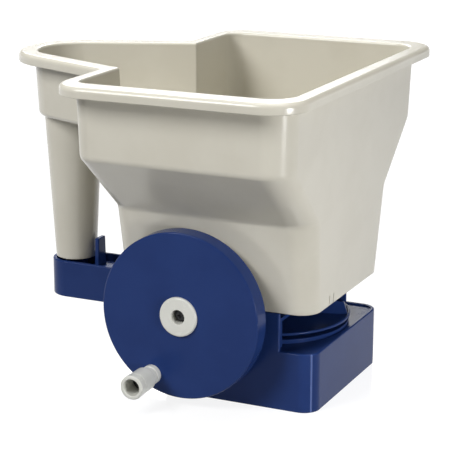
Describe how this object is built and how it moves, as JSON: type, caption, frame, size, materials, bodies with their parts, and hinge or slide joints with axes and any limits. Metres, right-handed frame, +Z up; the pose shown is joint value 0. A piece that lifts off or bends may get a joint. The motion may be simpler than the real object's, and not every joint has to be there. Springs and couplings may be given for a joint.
{
  "type": "hand salt spreader",
  "caption": "Hand spreader for salt or grit: open hopper with a rear lobe and grip column on a base with a spinning disc, driven by a side crank wheel with a knob.",
  "frame": {"origin": "on the foot plane, under the spinner shaft's axis", "axes": "+X the throwing direction, +Y away from the crank wheel, +Z up"},
  "size_m": [0.2868, 0.2924, 0.2384],
  "materials": {
    "hopper_plastic": "glossy moulded, warm light grey",
    "blue_plastic": "satin moulded, navy blue",
    "trim_plastic": "satin moulded, pale grey",
    "gear_plastic": "moulded acetal, off white",
    "steel": "zinc plated",
    "black_steel": "black zinc plated",
    "bush_brass": "turned",
    "seal_felt": "pressed felt"
  },
  "bodies": {
    "frame": {"hopper": "hopper_plastic", "grip_column": "hopper_plastic", "base_housing": "blue_plastic", "base_cover": "blue_plastic", "crank_axle": "steel", "hub_washer": "black_steel", "hub_screw": "black_steel", "wall_bush": "bush_brass", "inner_bush": "bush_brass", "lower_bush": "bush_brass", "upper_bush": "bush_brass", "shaft_seal": "seal_felt", "hopper_screws": "steel", "cover_screws": "steel", "column_screw": "steel"},
    "crank": {"crank_wheel": "blue_plastic", "hub_bush": "trim_plastic", "knob_pin": "trim_plastic", "knob_washer": "black_steel", "knob_screw": "black_steel"},
    "knob": {"knob": "trim_plastic"},
    "drive": {"pinion_shaft": "steel", "drive_pinion": "gear_plastic", "drive_bevel": "gear_plastic", "shaft_clips": "steel"},
    "spinner": {"spinner_shaft": "steel", "driven_bevel": "gear_plastic", "spinner_disc": "blue_plastic", "disc_clip": "steel", "agitator": "gear_plastic", "agitator_pin": "steel"},
    "dosing": {"dosing_slide": "blue_plastic"}
  },
  "joints": [
    {"name": "crank_turn", "type": "hinge", "parent": "frame", "child": "crank", "pos_m": [-0.0316, 0, 0.06846], "axis": [0, 1, 0], "continuous": true},
    {"name": "knob_spin", "type": "hinge", "parent": "crank", "child": "knob", "pos_m": [-0.05357, 0, 0.02177], "axis": [0, 1, 0], "continuous": true},
    {"name": "drive_spin", "type": "hinge", "parent": "frame", "child": "drive", "pos_m": [0, 0, 0.0323], "axis": [0, 1, 0], "continuous": true},
    {"name": "spinner_spin", "type": "hinge", "parent": "frame", "child": "spinner", "pos_m": [0, 0, 0], "axis": [0, 0, 1], "continuous": true},
    {"name": "dosing_slide", "type": "slide", "parent": "frame", "child": "dosing", "axis": [1, 0, 0], "range_m": [0, 0.018]}
  ],
  "couplings": [
    {"joint": "drive_spin", "follows": "crank_turn", "ratio": 7.4},
    {"joint": "spinner_spin", "follows": "crank_turn", "ratio": -7.4}
  ]
}
